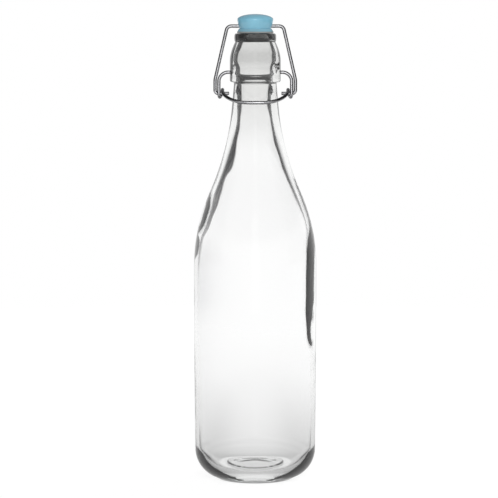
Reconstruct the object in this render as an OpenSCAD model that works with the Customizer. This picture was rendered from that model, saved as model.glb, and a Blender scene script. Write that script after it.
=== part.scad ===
// Swing-top bottle of about one litre: a glass bottle with a wire bail, a wire lever,
// a plastic stopper and a soft gasket. All sizes are in millimetres. +Z is up, the base
// stands on z = 0, the bottle's axis is the Z axis and the lever hangs at the front, on -Y.

/* [Bottle body] */
// Largest outside diameter of the body
body_d = 86; // [80:0.5:92]
// Height at which the body starts to turn into the shoulder
body_h = 151; // [120:1:190]
// Height at which the body reaches its largest diameter
barrel_h = 105; // [60:1:115]
// How much smaller the radius is just above the heel
foot_inset = 0.7; // [0:0.1:2]
// Outside radius of the rounded heel
heel_r = 20.8; // [12:0.2:26]
// Width of the flat ring that the bottle stands on
bearing_w = 3.5; // [2:0.5:6]
// Height of the push-up under the base
punt_h = 4; // [1:0.5:8]
// Thickness of the glass in the body
wall = 2.9; // [2:0.1:4]
// Thickness of the glass in the base
base_t = 5.5; // [4:0.5:9]

/* [Shoulder and neck] */
// Height of the convex part of the shoulder
shoulder_h = 52; // [40:1:65]
// Outside diameter where the shoulder turns from convex to hollow
turn_d = 63; // [56:0.5:68]
// Lean of the glass there, from upright
turn_lean = 23.5; // [18:0.5:30]
// Height of the hollow part between shoulder and neck
throat_h = 58; // [48:1:70]
// Outside diameter at the foot of the neck
throat_d = 32.8; // [31.5:0.1:34]
// Lean of the neck, from upright
neck_lean = 5; // [3:0.5:7]
// Height of the neck below the head
neck_h = 18; // [17:0.5:24]
// Bore of the neck
neck_bore_d = 23.4; // [20:0.2:25]

/* [Head and mouth] */
// Outside diameter of the head, which the lever pivots on
head_d = 35.6; // [34:0.2:38]
// Height of the straight part of the head
head_h = 14.5; // [11:0.5:18]
// Height of the rounded part between head and lip
crown_h = 13.4; // [11:0.2:18]
// Rounding of the glass under the head
head_fillet = 1.2; // [0.6:0.1:1.4]
// Largest bore inside the head
head_bore_d = 27.8; // [25:0.2:28]
// Height above the head's underside down to which that bore runs straight
head_bore_h = 4.5; // [2:0.5:6]
// Height over which it narrows to the bore of the neck
bore_blend_h = 3; // [2:0.5:12]
// Outside diameter of the groove under the lip
groove_d = 28.2; // [27:0.2:29]
// Outside diameter of the lip
lip_d = 29.3; // [28:0.1:31]
// Height of the lip
lip_h = 6; // [5:0.2:8]
// Rounding of the lip's outer edge
lip_edge = 1.1; // [0.6:0.1:1.8]
// Bore of the mouth
mouth_d = 21.6; // [20:0.2:22.4]
// Rounding of the mouth's inner edge
mouth_edge = 1.2; // [0.4:0.1:1.4]

/* [Lever wire] */
// Diameter of both wires
wire_d = 2.4; // [2:0.1:2.8]
// Height of the lever's pivot above the underside of the head
pivot_h = 6.8; // [4:0.1:8]
// Depth that the lever's ends reach into the dimples of the head
pin_depth = 2.2; // [1.5:0.1:2.4]
// Clearance of the pivot ends in their dimples, all round
pin_gap = 0.1; // [0.02:0.01:0.3]
// Length of each straight end outside the head
pin_out = 1.2; // [0.5:0.1:3]
// Bend radius at the top of each arm
arm_bend_r = 6.4; // [5:0.1:8]
// Drop from the pivot to the eye that the bail hangs in
eye_drop = 14.8; // [13:0.1:17]
// Distance of the eye behind the pivot, which holds the closed lever shut
over_center = 0.8; // [0:0.1:1.2]
// Clearance of the bail in the eye, all round
eye_gap = 0.2; // [0.1:0.01:0.3]
// Drop from the eye to the front of the lever's loop
loop_drop = 5.9; // [5:0.1:9]
// Length of the straight between the eye and the bend of the loop
loop_lead = 0.5; // [0.3:0.1:3]
// Clearance between wires, and between the closed loop and the neck
wire_gap = 0.3; // [0.2:0.05:0.6]

/* [Bail wire] */
// Height of the bail's cross wire above the stopper's lower edge
cross_h = 3.6; // [3.6:0.1:5]
// Distance from the stopper's widest part to the bail's upper corners
corner_reach = 7; // [5.5:0.1:9]
// Bend radius of the upper corners
corner_bend_r = 3.5; // [2.5:0.1:5]
// How far past the foot of the lever's upper bend the leg stays upright
knee_rise = 1; // [0.6:0.1:3]
// Bend radius of the knee above that
knee_bend_r = 10; // [5:0.5:14]
// Bend radius of the leg's lower end
tail_bend_r = 2.2; // [1.8:0.1:2.4]
// Length of the tail past the eye
tail_out = 3.4; // [2:0.1:4.5]

/* [Stopper and gasket] */
// Largest diameter of the stopper
stopper_d = 25; // [24:0.2:27]
// Diameter of the stopper at its lower edge
stopper_foot_d = 21; // [19.5:0.2:22]
// Height of the stopper from its lower edge to its top
stopper_h = 12; // [11.6:0.1:15]
// Height of the widest part above the lower edge
belly_h = 8.2; // [7.8:0.1:9.2]
// Rise of the domed top
dome_h = 1; // [0.6:0.1:1.4]
// Clearance of the bail in the stopper's cross hole, all round
hole_gap = 0.1; // [0.02:0.01:0.3]
// Diameter of the stem that carries the gasket
stem_d = 8.4; // [6:0.2:10]
// Diameter of the button that holds the gasket on
button_d = 13.2; // [12:0.2:13.6]
// Thickness of that button
button_h = 2.4; // [1.6:0.1:3]
// Depth of the button's upper face below the resting gasket's seat
button_drop = 2.4; // [1.5:0.1:3]
// Largest diameter of the gasket
gasket_d = 25.6; // [25.2:0.1:27]
// Thickness of the gasket between the stopper and the lip
gasket_t = 1.3; // [1:0.1:2]
// Height of the gasket's rim
rim_h = 0.9; // [0.5:0.1:1]
// Height of the collar round the stopper's lower edge
collar_h = 1.8; // [1.2:0.1:2]
// Thickness of that collar at its top
collar_t = 0.5; // [0.4:0.1:0.8]
// Depth of the gasket's plug in the mouth
plug_h = 5.5; // [4.5:0.1:6]
// Clearance round the plug at the mouth
plug_gap = 1; // [0.9:0.05:1.2]
// Height of the bevel round the plug's lower end
plug_bevel_h = 2; // [1.8:0.1:2.6]
// How much smaller the plug's radius is below that bevel
plug_bevel = 1.7; // [1.5:0.1:1.8]
// Space between the resting gasket and the lip
seat_gap = 0.12; // [0.08:0.01:0.3]
// Clearance of the gasket on the stopper
gasket_gap = 0.05; // [0.02:0.01:0.1]

/* [Hidden] */
$fn = 96;

// Segments in a curve of the glass, and in a small rounding
curve_n = 12;
round_n = 6;

// Radii and heights of the glass, from the base up
body_r = body_d / 2;
foot_r = body_r - foot_inset;
bearing_r = foot_r - heel_r;
punt_r = bearing_r - bearing_w;
turn_r = turn_d / 2;
turn_z = body_h + shoulder_h;
throat_r = throat_d / 2;
throat_z = turn_z + throat_h;
head_z = throat_z + neck_h;
neck_r = throat_r - (neck_h - head_fillet) * tan(neck_lean);
head_r = head_d / 2;
crown_z = head_z + head_h;
lip_z = crown_z + crown_h;
top_z = lip_z + lip_h;
groove_r = groove_d / 2;
lip_r = lip_d / 2;
mouth_r = mouth_d / 2;
neck_bore_r = neck_bore_d / 2;
head_bore_r = head_bore_d / 2;

// Slopes of the profile, as change of radius with height
foot_slope = foot_inset / barrel_h;
turn_slope = -tan(turn_lean);
neck_slope = -tan(neck_lean);
crown_slope = -0.5;

// Height of the groove under the lip, from the crown to the lip's full diameter
groove_h = lip_r - groove_r;

// Thinning of a wire in its bends, and length of the bends' ends inside the straights
bend_thin = 0.02;
bend_lap = 0.05;

// Wire centres
wire_r = wire_d / 2;
pivot_z = head_z + pivot_h;
pin_x = head_r - pin_depth;
arm_x = head_r + pin_out + arm_bend_r;
eye_r = wire_d + eye_gap;
eye_shift = wire_d + wire_gap / 2;
eye_y = over_center;
eye_z = pivot_z - eye_drop;
loop_x = arm_x - eye_shift;
loop_z = eye_z - loop_drop;
corner_x = stopper_d / 2 + corner_reach;
leg_x = arm_x + wire_d + wire_gap;
knee_z = pivot_z - arm_bend_r + knee_rise;
tail_x = loop_x - wire_r - tail_out;

// Stopper and gasket
stopper_r = stopper_d / 2;
stopper_foot_r = stopper_foot_d / 2;
seat_z = top_z + seat_gap;
stopper_z = seat_z + gasket_t;
stopper_edge = stopper_h - belly_h - dome_h;
cross_z = stopper_z + cross_h;
stem_r = stem_d / 2;
button_r = button_d / 2;
button_z = seat_z - button_drop - button_h;
button_edge = button_h / 3;
gasket_r = gasket_d / 2;
plug_r = mouth_r - plug_gap;
plug_z = seat_z - plug_h;
taper = (stopper_r - stopper_foot_r) / belly_h;

// Curve from p to q, both [radius, height], with the slopes a at p and b at q
function ease(p, q, a, b, n = curve_n) =
    let (h = q.y - p.y)
    [for (i = [1 : n])
        let (t = i / n, t2 = t * t, t3 = t2 * t)
        [(2 * t3 - 3 * t2 + 1) * p.x + (3 * t2 - 2 * t3) * q.x
            + h * ((t3 - 2 * t2 + t) * a + (t3 - t2) * b),
         p.y + h * t]];

// Arc about c = [radius, height], from angle a to angle b
function arc(c, r, a, b, n = round_n) =
    [for (i = [0 : n])
        let (t = a + (b - a) * i / n)
        [c.x + r * cos(t), c.y + r * sin(t)]];

// Dome of width 2 r and rise h, from its edge at height z to the axis
function dome(r, z, h, n = round_n) =
    let (big = (r * r + h * h) / (2 * h), a = asin(r / big))
    [for (i = [0 : n])
        let (t = a * (1 - i / n))
        [big * sin(t), z + h - big * (1 - cos(t))]];

function reversed(list) = [for (i = [len(list) - 1 : -1 : 0]) list[i]];

// Outer face of the glass from the heel to the foot of the lip
outer_side = concat(
    arc([bearing_r, heel_r], heel_r, -90, 0, curve_n),
    ease([foot_r, heel_r], [body_r, barrel_h], foot_slope, 0),
    [[body_r, body_h]],
    ease([body_r, body_h], [turn_r, turn_z], 0, turn_slope),
    ease([turn_r, turn_z], [throat_r, throat_z], turn_slope, neck_slope),
    arc([neck_r + head_fillet, head_z - head_fillet], head_fillet, 180, 90),
    arc([head_r - head_fillet, head_z + head_fillet], head_fillet, -90, 0),
    [[head_r, crown_z]],
    ease([head_r, crown_z], [groove_r, lip_z], 0, crown_slope, round_n)
);

// Lip, from its groove over the rim into the mouth
lip_rim = concat(
    [[lip_r, lip_z + groove_h]],
    arc([lip_r - lip_edge, top_z - lip_edge], lip_edge, 0, 90),
    arc([mouth_r + mouth_edge, top_z - mouth_edge], mouth_edge, 90, 180)
);

// Inner face of the glass from the mouth down to the middle of the base
inner_turn_r = turn_r - wall / cos(turn_lean);
inner_heel_r = heel_r - wall;
inner_heel_z = base_t + inner_heel_r;
inner_foot_r = foot_r - wall;
inner_body_r = body_r - wall;
neck_bore_z = head_z + head_bore_h - bore_blend_h;
inner_side = concat(
    [[mouth_r, lip_z]],
    ease([mouth_r, lip_z], [head_bore_r, crown_z], 0, 0, round_n),
    [[head_bore_r, head_z + head_bore_h]],
    ease([head_bore_r, head_z + head_bore_h], [neck_bore_r, neck_bore_z], 0, 0, round_n),
    [[neck_bore_r, throat_z]],
    ease([neck_bore_r, throat_z], [inner_turn_r, turn_z], neck_slope, turn_slope),
    ease([inner_turn_r, turn_z], [inner_body_r, body_h], turn_slope, 0),
    reversed(ease([inner_foot_r, inner_heel_z], [inner_body_r, barrel_h], foot_slope, 0)),
    arc([inner_foot_r - inner_heel_r, inner_heel_z], inner_heel_r, 0, -90, curve_n),
    dome(punt_r, base_t, punt_h)
);

// Largest outside radius of the neck around a wire at height z
neck_sides = [for (p = outer_side) if (p.y <= head_z - head_fillet) [p.y, p.x]];
function neck_r_at(z) = lookup(z - wire_r, neck_sides);

function unit(v) = v / norm(v);

// Angle that a wire's path turns by at its point i
function turn_at(path, i) = acos(unit(path[i] - path[i - 1]) * unit(path[i + 1] - path[i]));

// Length that the bend at point i takes from the straights beside it
function trim_at(path, bends, i) =
    i == 0 || i == len(path) - 1 ? 0 : bends[i] * tan(turn_at(path, i) / 2);

// Right half of a path, followed by its mirror image on the left
function both_sides(path) = concat(path, [for (p = reversed(path)) [-p.x, p.y, p.z]]);

// Straight wire from p to q
module straight(p, q) {
    v = q - p;
    translate(p)
        rotate([0, acos(v.z / norm(v)), atan2(v.y, v.x)])
            cylinder(d = wire_d, h = norm(v));
}

// Bend of radius r that starts at p in the direction along and turns by angle towards side.
// It is a hair thinner than the straights, and its ends lie inside them.
module bend(p, along, side, r, angle) {
    hub = p + side * r;
    axis = cross(along, side);
    lap = bend_lap / r * 180 / PI;
    multmatrix([for (k = [0 : 2]) [-side[k], along[k], axis[k], hub[k]]])
        rotate(-lap)
            rotate_extrude(angle = angle + 2 * lap)
                translate([r, 0])
                    circle(d = wire_d - bend_thin, $fn = 32);
}

// Round wire along a path, with a bend of the given radius at each inner point
module bent_wire(path, bends) {
    last = len(path) - 1;
    for (i = [1 : last]) {
        along = unit(path[i] - path[i - 1]);
        start = path[i - 1] + along * trim_at(path, bends, i - 1);
        straight(start, path[i] - along * trim_at(path, bends, i));
    }
    for (i = [1 : last - 1]) {
        along = unit(path[i] - path[i - 1]);
        next = unit(path[i + 1] - path[i]);
        side = unit(next - along * (next * along));
        bend(path[i] - along * trim_at(path, bends, i), along, side, bends[i], turn_at(path, i));
    }
}

// Blind dimple in the side of the head that one end of the lever turns in
module dimple() {
    translate([pin_x - wire_gap, 0, pivot_z])
        rotate([0, 90, 0])
            cylinder(r = wire_r + pin_gap, h = pin_depth + 2 * wire_gap);
}

module bottle() {
    color([0.82, 0.92, 0.94, 0.4])
        difference() {
            rotate_extrude()
                polygon(concat(
                    reversed(dome(punt_r, 0, punt_h)),
                    outer_side,
                    lip_rim,
                    inner_side
                ));
            dimple();
            mirror([1, 0, 0]) dimple();
        }
}

module stopper() {
    corner = [stopper_r - stopper_edge, stopper_z + belly_h];
    color([0.5, 0.73, 0.82])
        difference() {
            rotate_extrude()
                polygon(concat(
                    [[0, button_z], [button_r - button_edge, button_z]],
                    arc([button_r - button_edge, button_z + button_edge], button_edge, -90, 0),
                    [[button_r, button_z + button_h], [stem_r, button_z + button_h]],
                    [[stem_r, stopper_z], [stopper_foot_r, stopper_z]],
                    arc(corner, stopper_edge, 0, 90),
                    dome(corner.x, corner.y + stopper_edge, dome_h)
                ));
            translate([-stopper_d, 0, cross_z])
                rotate([0, 90, 0])
                    cylinder(r = wire_r + hole_gap, h = 2 * stopper_d);
        }
}

module gasket() {
    grip_r = stopper_foot_r + gasket_gap;
    collar_r = grip_r + collar_h * taper;
    color([0.86, 0.9, 0.9, 0.7])
        rotate_extrude()
            polygon([
                [stem_r + gasket_gap, seat_z - button_drop],
                [button_r + gasket_gap, seat_z - button_drop],
                [button_r + gasket_gap, plug_z],
                [plug_r - plug_bevel, plug_z],
                [plug_r, plug_z + plug_bevel_h],
                [plug_r, seat_z],
                [gasket_r, seat_z],
                [gasket_r, seat_z + rim_h],
                [collar_r + collar_t, stopper_z + collar_h],
                [collar_r, stopper_z + collar_h],
                [grip_r, stopper_z],
                [stem_r + gasket_gap, stopper_z]
            ]);
}

module bail_wire() {
    path = both_sides([
        [tail_x, eye_y, eye_z],
        [leg_x, eye_y, eye_z],
        [leg_x, eye_y * (cross_z - knee_z) / (cross_z - eye_z), knee_z],
        [corner_x, 0, cross_z]
    ]);
    bends = [0, tail_bend_r, knee_bend_r, corner_bend_r];
    color([0.72, 0.73, 0.74])
        bent_wire(path, concat(bends, reversed(bends)));
}

module lever_wire() {
    // The arm, the underside of the eye, its back and the loop are all tangent to the eye's circle
    loop_y = -(neck_r_at(loop_z) + wire_gap + wire_r);
    arm_lean = asin(eye_r / norm([eye_y, eye_drop])) - atan2(eye_y, eye_drop);
    loop_far = norm([eye_y - loop_y, loop_drop]);
    loop_lean = atan2(loop_drop, eye_y - loop_y) + asin(eye_r / loop_far);
    loop_bend_r = sqrt(loop_far * loop_far - eye_r * eye_r) - loop_lead;
    path = both_sides([
        [pin_x, 0, pivot_z],
        [arm_x, 0, pivot_z],
        [arm_x, -(eye_drop + eye_r) * tan(arm_lean), eye_z - eye_r],
        [arm_x - eye_shift / 2, eye_y + eye_r, eye_z - eye_r],
        [loop_x, eye_y + eye_r, eye_z + eye_r * tan(45 + loop_lean / 2)],
        [loop_x, loop_y, loop_z]
    ]);
    bends = [0, arm_bend_r, eye_r, eye_r, eye_r, loop_bend_r];
    color([0.72, 0.73, 0.74])
        bent_wire(path, concat(bends, reversed(bends)));
}

bottle();
stopper();
gasket();
bail_wire();
lever_wire();
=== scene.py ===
import math

import bmesh
import bpy
from mathutils import Matrix, Vector


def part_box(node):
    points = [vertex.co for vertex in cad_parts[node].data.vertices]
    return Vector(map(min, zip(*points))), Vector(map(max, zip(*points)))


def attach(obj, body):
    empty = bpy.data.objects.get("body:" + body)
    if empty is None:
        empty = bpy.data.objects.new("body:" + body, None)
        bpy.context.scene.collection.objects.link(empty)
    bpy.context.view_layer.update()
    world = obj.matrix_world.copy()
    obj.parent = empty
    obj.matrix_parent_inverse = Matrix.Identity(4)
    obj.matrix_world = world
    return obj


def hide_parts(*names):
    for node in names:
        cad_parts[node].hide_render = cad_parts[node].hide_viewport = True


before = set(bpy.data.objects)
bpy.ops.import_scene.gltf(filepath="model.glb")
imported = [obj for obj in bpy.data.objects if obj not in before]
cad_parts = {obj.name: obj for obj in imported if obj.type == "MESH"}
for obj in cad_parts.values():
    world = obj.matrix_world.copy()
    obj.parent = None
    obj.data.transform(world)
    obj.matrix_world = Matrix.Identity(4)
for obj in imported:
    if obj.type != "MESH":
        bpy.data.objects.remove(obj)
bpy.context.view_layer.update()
GLASS_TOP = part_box("bottle")[1].z
BODY_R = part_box("bottle")[1].x
STOPPER_LOW, STOPPER_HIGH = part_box("stopper")
GASKET_LOW, GASKET_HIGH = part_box("gasket")

bl_info = {
    "name": "Swing-top bottle",
    "version": (1, 0, 0),
    "blender": (4, 5, 0),
    "location": "3D View > Sidebar > Bottle",
    "description": "Blown glass, bent wires, stopper and gasket over the packed solids, on a pale floor",
    "category": "Add Mesh",
}


def length(name, description, default):
    """A length property in metres."""
    return bpy.props.FloatProperty(name=name, description=description, default=default, min=0.0, precision=4,
                                   unit="LENGTH")


def angle(name, description, degrees):
    """An angle property, with its default in degrees."""
    return bpy.props.FloatProperty(name=name, description=description, default=math.radians(degrees),
                                   subtype="ANGLE")


def colour(name, description, default):
    """A colour property."""
    return bpy.props.FloatVectorProperty(name=name, description=description, default=default, size=3,
                                         min=0.0, max=1.0, subtype="COLOR")


def factor(name, description, default, highest=1.0):
    """A plain number from 0 to highest."""
    return bpy.props.FloatProperty(name=name, description=description, default=default, min=0.0, max=highest,
                                   subtype="FACTOR")


def power(name, description, watts):
    """A lamp's power property in watts."""
    return bpy.props.FloatProperty(name=name, description=description, default=watts, min=0.0, unit="POWER")


class SWINGTOP_PG_glass(bpy.types.PropertyGroup):
    """Sizes of the blown bottle"""
    body_r: length("Body radius", "Largest outside radius of the body", BODY_R)
    foot_r: length("Foot radius", "Outside radius just above the heel", BODY_R - 0.0007)
    heel_r: length("Heel radius", "Rounding between the base and the body", 0.0208)
    heel_bore_r: length("Inner heel radius", "Rounding between the base and the body inside", 0.0179)
    punt_r: length("Push-up radius", "Radius of the hollow under the base", 0.018)
    punt_h: length("Push-up height", "Height of the hollow under the base", 0.004)
    barrel_z: length("Barrel height", "Height at which the body reaches its full radius", 0.105)
    shoulder_z: length("Shoulder height", "Height at which the body starts to turn inwards", 0.151)
    turn_r: length("Turn radius", "Outside radius where the shoulder turns hollow", 0.0315)
    turn_z: length("Turn height", "Height where the shoulder turns hollow", 0.203)
    turn_lean: angle("Turn lean", "Lean of the shoulder there", 23.5)
    throat_r: length("Throat radius", "Outside radius at the foot of the neck", 0.0164)
    throat_z: length("Throat height", "Height of the foot of the neck", 0.261)
    neck_lean: angle("Neck lean", "Lean of the neck", 5.0)
    head_r: length("Head radius", "Outside radius of the head", 0.0178)
    head_z: length("Head height", "Height of the underside of the head", 0.279)
    head_edge: length("Head rounding", "Rounding of the glass under the head", 0.0012)
    crown_z: length("Crown height", "Height where the head starts to draw in", 0.2935)
    groove_r: length("Groove radius", "Outside radius of the groove under the lip", 0.0141)
    lip_z: length("Lip height", "Height of the groove under the lip", 0.3069)
    lip_r: length("Lip radius", "Outside radius of the lip", 0.01465)
    lip_edge: length("Lip rounding", "Rounding of the lip's outer edge", 0.0011)
    lip_inset: length("Lip inset", "How far that rounding is set in from the lip's radius", 0.0002)
    lip_bulge_r: length("Lip bulge", "Radius of the lip's faintly swollen side", 0.012)
    mouth_r: length("Mouth radius", "Radius of the mouth", 0.0108)
    land_h: length("Mouth height", "Height of the mouth's straight bore", 0.002)
    mouth_edge: length("Mouth rounding", "Rounding of the mouth's edge", 0.0012)
    head_bore_r: length("Head bore radius", "Largest inside radius of the head", 0.0142)
    head_bore_top: length("Head bore top", "Height at which the bore is widest", 0.2975)
    head_bore_z: length("Head bore height", "Height down to which that bore runs straight", 0.2945)
    step_r: length("Step radius", "Inside radius above the step between head and neck", 0.0122)
    step_z: length("Step height", "Height of the top of that step", 0.2848)
    neck_bore_r: length("Neck bore radius", "Inside radius of the neck", 0.0117)
    neck_bore_z: length("Neck bore height", "Height at which the bore has narrowed to the neck's", 0.2805)
    wall: length("Wall", "Thickness of the body's glass", 0.0029)
    base_t: length("Base thickness", "Thickness of the glass in the base", 0.0060)
    dome_r: length("Dome radius", "Radius of the raised middle inside the base", 0.0208)
    dome_h: length("Dome height", "Rise of that raised middle", 0.0014)
    dome_flat: factor("Dome flat", "Share of that raised middle that is flat on top", 0.94)
    dimple_r: length("Dimple radius", "Radius of the blind holes that the lever turns in", 0.0013)
    dimple_edge: length("Dimple rounding", "Rounding of the dimples' floors", 0.0004)
    dimple_x: length("Dimple floor", "Distance of the dimples' floors from the axis", 0.0153)
    dimple_z: length("Dimple height", "Height of the dimples", 0.2858)
    waver: length("Waver", "How far the blown inner face wanders in and out", 0.0003)


class SWINGTOP_PG_wires(bpy.types.PropertyGroup):
    """Sizes of the two bent wires"""
    wire_r: length("Wire radius", "Radius of both wires", 0.0012)
    pivot_z: length("Pivot height", "Height of the lever's pivot", 0.2858)
    pin_x: length("Pin reach", "Distance of the lever's ends from the axis", 0.0156)
    arm_x: length("Arm reach", "Distance of the lever's arms from the axis", 0.0254)
    arm_bend_r: length("Arm bend", "Bend radius at the top of each arm", 0.0064)
    eye_drop: length("Eye drop", "Drop from the pivot to the eye", 0.0148)
    eye_y: length("Eye offset", "Distance of the eye behind the pivot", 0.0008)
    eye_r: length("Eye radius", "Bend radius of the eye", 0.0026)
    eye_shift: length("Eye shift", "Sideways step of the wire through the eye", 0.00255)
    loop_drop: length("Loop drop", "Drop from the eye to the front of the loop", 0.0059)
    loop_y: length("Loop reach", "Distance of the loop's front from the axis", 0.01773)
    loop_lead: length("Loop lead", "Straight wire between the eye and the bend of the loop", 0.0005)
    leg_x: length("Leg reach", "Distance of the bail's legs from the axis", 0.0281)
    knee_z: length("Knee height", "Height at which the legs lean inwards", 0.2804)
    knee_bend_r: length("Knee bend", "Bend radius of the knees", 0.01)
    corner_x: length("Corner reach", "Distance of the bail's upper corners from the axis", 0.0195)
    corner_bend_r: length("Corner bend", "Bend radius of the upper corners", 0.0035)
    cross_z: length("Cross height", "Height of the bail's cross wire", 0.31792)
    tail_x: length("Tail end", "Distance of the bail's ends from the axis", 0.01825)
    tail_bend_r: length("Tail bend", "Bend radius of the legs' lower ends", 0.0022)


class SWINGTOP_PG_stopper(bpy.types.PropertyGroup):
    """Sizes of the stopper and its gasket"""
    belly_r: length("Belly radius", "Largest radius of the stopper", STOPPER_HIGH.x)
    top_z: length("Top height", "Height of the stopper's top", STOPPER_HIGH.z)
    button_z: length("Button height", "Height of the button's underside", STOPPER_LOW.z)
    foot_r: length("Foot radius", "Radius of the stopper's lower edge", 0.0105)
    foot_z: length("Foot height", "Height of the stopper's lower edge", 0.31432)
    belly_z: length("Belly height", "Height of the widest part", 0.32252)
    seam: length("Seam", "Height of the mould's parting line", 0.00004)
    stem_r: length("Stem radius", "Radius of the stem inside the gasket", 0.0042)
    button_r: length("Button radius", "Radius of the button below the gasket", 0.0066)
    button_h: length("Button thickness", "Thickness of the button", 0.0024)
    button_edge: length("Button rounding", "Rounding of the button's lower edge", 0.0008)
    foot_edge: length("Foot rounding", "Rounding of the stopper's lower edge", 0.0003)
    hole_r: length("Hole radius", "Radius of the hole for the cross wire", 0.0013)
    hole_flare: length("Hole flare", "How much wider that hole is at its ends", 0.0005)
    flare_out: length("Flare start", "Depth from the belly at which the flare starts to narrow", 0.0006)
    flare_in: length("Flare end", "Depth from the belly at which the flare has ended", 0.0018)
    seat_z: length("Seat height", "Height of the gasket's face over the lip", 0.31302)
    rim_r: length("Rim radius", "Outside radius of the gasket", GASKET_HIGH.x)
    rim_h: length("Rim height", "Height of the gasket's outer rim", 0.0009)
    collar_z: length("Collar height", "Height of the top of the gasket's collar", GASKET_HIGH.z)
    collar_t: length("Collar wall", "Thickness of the collar's edge", 0.0005)
    plug_r: length("Plug radius", "Largest radius of the gasket inside the mouth", 0.0098)
    plug_z: length("Plug height", "Height of the plug's lower end", GASKET_LOW.z)
    plug_bevel_h: length("Plug bevel height", "Height of the bevel round the plug's lower end", 0.002)
    plug_bevel: length("Plug bevel", "How far that bevel draws the plug in", 0.0017)
    soft_edge: length("Gasket rounding", "Rounding of the gasket's edges", 0.0002)
    ease: length("Gasket ease", "Clearance of the gasket on the stopper", 0.00005)


class SWINGTOP_PG_finish(bpy.types.PropertyGroup):
    """Colours of the finishes"""
    glass: colour("Glass", "Colour that the glass lets through", (0.90, 0.92, 0.91))
    # Painted shade: the grey painted into the glass at the grey places, standing in for the darker view
    # through the wall there
    grey_glass: colour("Grey glass", "Greyer colour of the places where the wall has set uneven",
                       (0.86, 0.86, 0.865))
    # Grey of the thick glass in the neck and head, partly painted shade standing in for the darker view
    # through it
    head_glass: colour("Head glass", "Greyer colour of the thick glass in the neck and head",
                       (0.87, 0.87, 0.865))
    # Painted shade: the darker band round the crown, not a colour of the glass itself
    crown_glass: colour("Crown glass", "Colour of the thickest glass in the head", (0.755, 0.755, 0.75))
    # Painted shade: the dark colour painted where the glass turns away, standing in for the dark surroundings
    # it would show
    edge: colour("Glass edge", "Colour of the glass where its wall turns away", (0.003, 0.003, 0.0032))
    plastic: colour("Stopper", "Colour of the moulded stopper", (0.230, 0.520, 0.665))
    silicone: colour("Gasket", "Colour of the soft gasket", (0.86, 0.9, 0.9))
    plug: colour("Plug", "Colour that the gasket's clear plug lets through", (0.32, 0.34, 0.34))
    # Painted light: the blue of the lit stopper behind the collar is painted onto the collar itself
    collar: colour("Collar", "Colour of the gasket's thin collar, tinted by the stopper", (0.34, 0.64, 0.78))
    steel: colour("Wire", "Colour of the drawn steel", (0.33, 0.33, 0.34))
    floor: colour("Floor", "Colour of the studio floor", (0.94, 0.94, 0.94))


class SWINGTOP_PG_studio(bpy.types.PropertyGroup):
    """Camera, floor and light"""
    distance: length("Camera distance", "Distance of the camera in front of the axis", 1.85)
    height: length("Camera height", "Height of the camera above the floor", 0.326)
    aside: length("Camera aside", "Distance of the camera to the left of the axis", 0.00437)
    tilt: angle("Camera tilt", "How far the camera looks down", 5.07)
    lens: bpy.props.FloatProperty(name="Lens", description="Focal length on a sensor 36 mm wide",
                                  default=191.1, min=1.0, unit="CAMERA")
    floor_r: length("Floor radius", "Radius of the pale floor", 1.1)
    daylight: factor("Daylight", "Strength of the even light from all around", 0.4, 2.0)
    key: power("Key", "Power of the large soft lamp at the front", 16.0)
    rim: power("Rim", "Power of the soft lamp at the back right", 9.0)
    soft_box: factor("Soft box", "Brightness of the front lamp as steel and plastic show it", 4.5, 10.0)
    dark: factor("Dark walls", "Brightness of the studio's side walls as steel and plastic show them", 0.04)


# Fixed values


# Segments round each turned piece and hole, and round the floor
GLASS_ROUND, STOPPER_ROUND, GASKET_ROUND, DIMPLE_ROUND, HOLE_ROUND, FLOOR_ROUND = 168, 128, 96, 32, 40, 96
# Points along the glass: each stretch of the body, of the head and of the inside, then the push-up, the heel,
# the lip's side and its edges, and the dome, with enough for its steep rim
BODY_STEPS, HEAD_STEPS, INNER_STEPS = (18, 10, 24, 24, 6), (8, 16), (4, 14, 4, 12, 12, 10, 28, 24, 14, 24)
PUNT_STEPS, HEEL_STEPS, LIP_STEPS, EDGE_STEPS, DOME_STEPS = 14, 26, 12, 8, 160
# Points along the stopper's flank and again along its top
STOPPER_STEPS = 24
# Arcs in degrees: the lip's side and edge, the stopper's foot, and the turns of the plug, rim and collar
LIP_ARC, LIP_EDGE_ARC, FOOT_ARC = (-12, 9), (10, 90), (-90, -13)
PLUG_TURN, RIM_TURN, COLLAR_TURN = -40, 55, 25
# The wire's sides, one step of its bends, the fewest steps in a bend, and the rounding of its tips as a share
# of its radius
WIRE_SIDES, BEND_STEP, BEND_LEAST, TIP_ROUND = 20, math.radians(6), 4, 0.3
# Points this close are one, a bend may miss its end by this much, and this far off counts as on the seam
WELD, BEND_MISS, ON_SEAM = 1e-7, 1e-5, 1e-6
# Nothing nearer to the axis than this is moved
AXIS_R = 0.001
# How far a drill stands out of the face that it cuts
DRILL_PAST = 0.001
# Change of radius with height of the glass below the groove and of the stopper above its foot
CROWN_SLOPE, STOPPER_SLOPE = -0.5, 0.27
# Angles over which a smooth face shows a crease, in degrees
CREASE, GLASS_CREASE = 35.0, 50.0

# The wandering inner face: two waves, each with its share, its count round the bottle and where it starts.
# The broad wave sways to and fro over the height, the fine one climbs.
BROAD_SHARE, BROAD_COUNT, BROAD_START, BROAD_SWAY, BROAD_HEIGHT = 0.6, 2, -0.7, 1.6, 0.031
FINE_SHARE, FINE_COUNT, FINE_START, FINE_HEIGHT = 0.4, 3, 2.1, 0.022
# Where it is calm: distances below the rim, and heights above the floor, for none and for all of it
CALM_RIM, CALM_BASE = (0.012, 0.032), (0.03, 0.13)
# How much of it is left in the neck
NECK_WAVER = 0.45

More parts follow.
